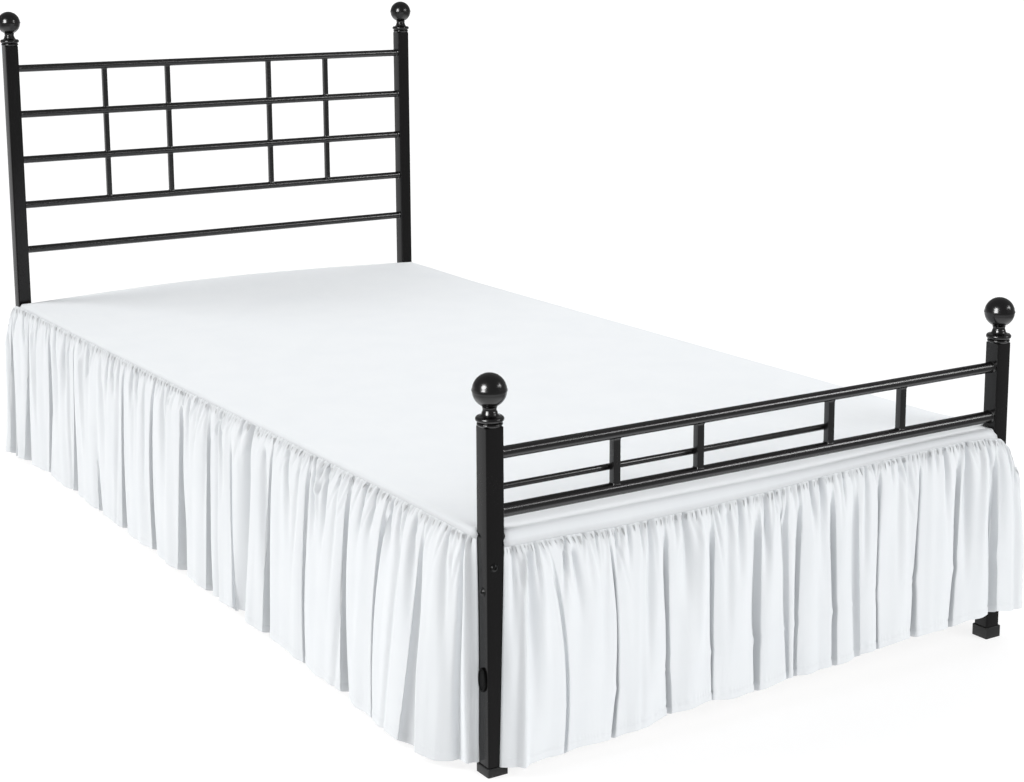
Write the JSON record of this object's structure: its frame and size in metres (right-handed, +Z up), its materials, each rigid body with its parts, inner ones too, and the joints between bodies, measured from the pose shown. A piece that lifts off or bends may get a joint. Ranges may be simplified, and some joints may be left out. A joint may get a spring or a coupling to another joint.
{
  "type": "bed skirt on metal bed",
  "caption": "White gathered bed skirt with split corners, its deck panel and drops hanging over a plain black metal bed with round rails and ball finials.",
  "frame": {"origin": "middle of the floor that the whole part covers, at the height of the caps' undersides", "axes": "+X from the bed's left side to its right, seen from the foot; +Y from the foot to the head; +Z up"},
  "size_m": [1.1088, 2.087, 1.0023],
  "materials": {
    "skirt_cloth": "matt brushed plain weave",
    "black_steel": "satin powder coat",
    "cap_plastic": "moulded, matt",
    "slat_wood": "planed softwood, unvarnished"
  },
  "bodies": {
    "root": {"bolt_foot_face": "black_steel", "bolt_side_face": "black_steel", "cap_foot_left": "cap_plastic", "cap_foot_right": "cap_plastic", "cap_head_left": "cap_plastic", "cap_head_right": "cap_plastic", "deck_panel": "skirt_cloth", "end_rail_foot": "black_steel", "end_rail_head": "black_steel", "finial_foot_left": "black_steel", "finial_foot_right": "black_steel", "finial_head_left": "black_steel", "finial_head_right": "black_steel", "foot_back_bar": "black_steel", "foot_rail_low": "black_steel", "foot_rail_top": "black_steel", "foot_upright_1": "black_steel", "foot_upright_2": "black_steel", "foot_upright_3": "black_steel", "foot_upright_4": "black_steel", "head_rail_1": "black_steel", "head_rail_2": "black_steel", "head_rail_3": "black_steel", "head_rail_4": "black_steel", "head_rail_5": "black_steel", "head_upright_1_1": "black_steel", "head_upright_1_2": "black_steel", "head_upright_1_3": "black_steel", "head_upright_2_1": "black_steel", "head_upright_2_2": "black_steel", "head_upright_2_3": "black_steel", "head_upright_3_1": "black_steel", "head_upright_3_2": "black_steel", "head_upright_3_3": "black_steel", "head_upright_4_1": "black_steel", "head_upright_4_2": "black_steel", "head_upright_4_3": "black_steel", "lug_side_face": "black_steel", "post_foot_left": "black_steel", "post_foot_right": "black_steel", "post_head_left": "black_steel", "post_head_right": "black_steel", "ruffle_foot": "skirt_cloth", "ruffle_left": "skirt_cloth", "ruffle_right": "skirt_cloth", "side_rail_left": "black_steel", "side_rail_right": "black_steel", "slat_1": "slat_wood", "slat_2": "slat_wood", "slat_3": "slat_wood", "slat_4": "slat_wood", "slat_5": "slat_wood", "slat_6": "slat_wood", "slat_7": "slat_wood", "slat_8": "slat_wood", "slat_9": "slat_wood"}
  },
  "joints": []
}
